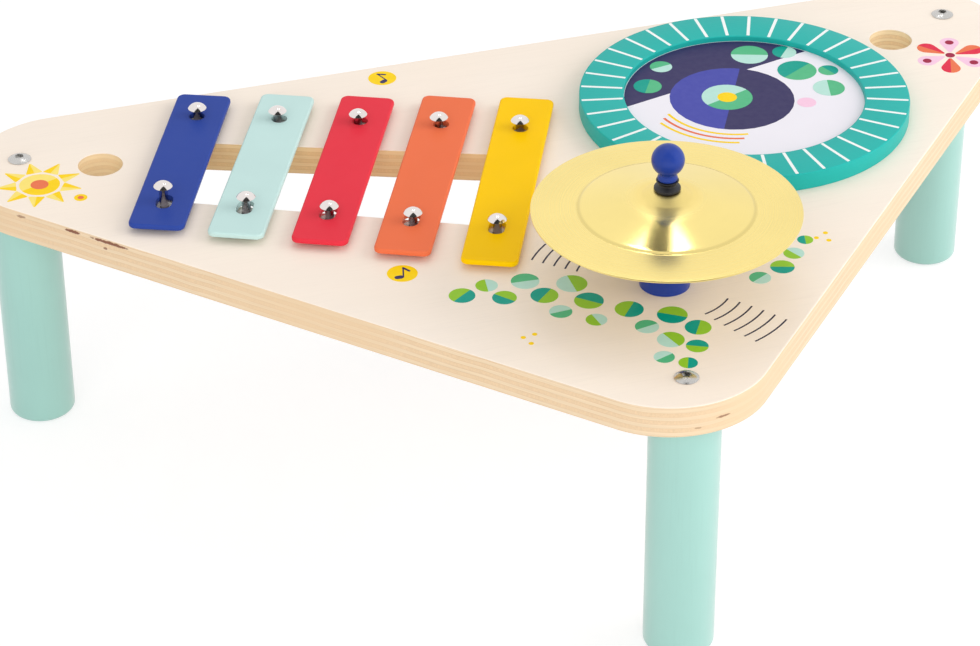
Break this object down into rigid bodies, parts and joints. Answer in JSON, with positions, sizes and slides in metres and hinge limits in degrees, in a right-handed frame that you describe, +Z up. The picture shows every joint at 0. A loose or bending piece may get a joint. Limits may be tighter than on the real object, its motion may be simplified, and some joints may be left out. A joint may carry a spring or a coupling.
{
  "type": "musical activity table",
  "caption": "Low wooden activity table for toddlers: a metal-bar glockenspiel over a sound slot, a framed drum, a rocking cymbal on a post, and holes that hold mallets.",
  "frame": {"origin": "on the floor under the middle of the table's bounding box", "axes": "+X along the straight rear edge of the top, to the drum's end; +Y from the front tip to the rear edge; +Z up"},
  "size_m": [0.5748, 0.357, 0.2321],
  "materials": {
    "plywood": "clear lacquered birch plywood, printed on top",
    "mint_wood": "satin painted beech dowel",
    "bolt_steel": "zinc plated",
    "insert_brass": "bright",
    "blue_metal": "satin powder coat",
    "mint_metal": "satin powder coat",
    "red_metal": "satin powder coat",
    "orange_metal": "satin powder coat",
    "yellow_metal": "satin powder coat",
    "pin_chrome": "polished",
    "felt": "pressed wool felt",
    "teal_wood": "satin paint with white ticks",
    "hoop_wood": "bare beech",
    "skin_film": "printed polyester film",
    "screw_steel": "zinc plated",
    "blue_wood": "satin paint",
    "washer_steel": "zinc plated",
    "black_rubber": "matt",
    "cymbal_brass": "polished and lacquered"
  },
  "bodies": {
    "table": {"tabletop": "plywood", "leg_left": "mint_wood", "leg_right": "mint_wood", "leg_front": "mint_wood", "leg_bolts": "bolt_steel", "leg_inserts": "insert_brass", "bar_pins": "pin_chrome", "bar_felts": "felt", "drum_ring": "teal_wood", "drum_hoop": "hoop_wood", "drum_skin": "skin_film", "drum_screws": "screw_steel", "cymbal_post": "blue_wood", "cymbal_bolt": "bolt_steel", "cymbal_washer": "washer_steel", "cymbal_knob": "blue_wood"},
    "bar_blue": {"bar_blue": "blue_metal"},
    "bar_mint": {"bar_mint": "mint_metal"},
    "bar_red": {"bar_red": "red_metal"},
    "bar_orange": {"bar_orange": "orange_metal"},
    "bar_yellow": {"bar_yellow": "yellow_metal"},
    "cymbal_grommet": {"cymbal_grommet": "black_rubber"},
    "cymbal": {"cymbal": "cymbal_brass"}
  },
  "joints": [
    {"name": "blue_bar_hop", "type": "slide", "parent": "table", "child": "bar_blue", "axis": [0, 0, 1], "range_m": [0, 0.0039]},
    {"name": "mint_bar_hop", "type": "slide", "parent": "table", "child": "bar_mint", "axis": [0, 0, 1], "range_m": [0, 0.0039]},
    {"name": "red_bar_hop", "type": "slide", "parent": "table", "child": "bar_red", "axis": [0, 0, 1], "range_m": [0, 0.0039]},
    {"name": "orange_bar_hop", "type": "slide", "parent": "table", "child": "bar_orange", "axis": [0, 0, 1], "range_m": [0, 0.0039]},
    {"name": "yellow_bar_hop", "type": "slide", "parent": "table", "child": "bar_yellow", "axis": [0, 0, 1], "range_m": [0, 0.0039]},
    {"name": "cymbal_turn", "type": "hinge", "parent": "table", "child": "cymbal_grommet", "pos_m": [0.018, -0.0745, 0.207], "axis": [0, 0, 1], "continuous": true},
    {"name": "cymbal_rock", "type": "hinge", "parent": "cymbal_grommet", "child": "cymbal", "pos_m": [0.018, -0.0745, 0.207], "axis": [1, 0, 0], "range_deg": [-3, 3]}
  ]
}
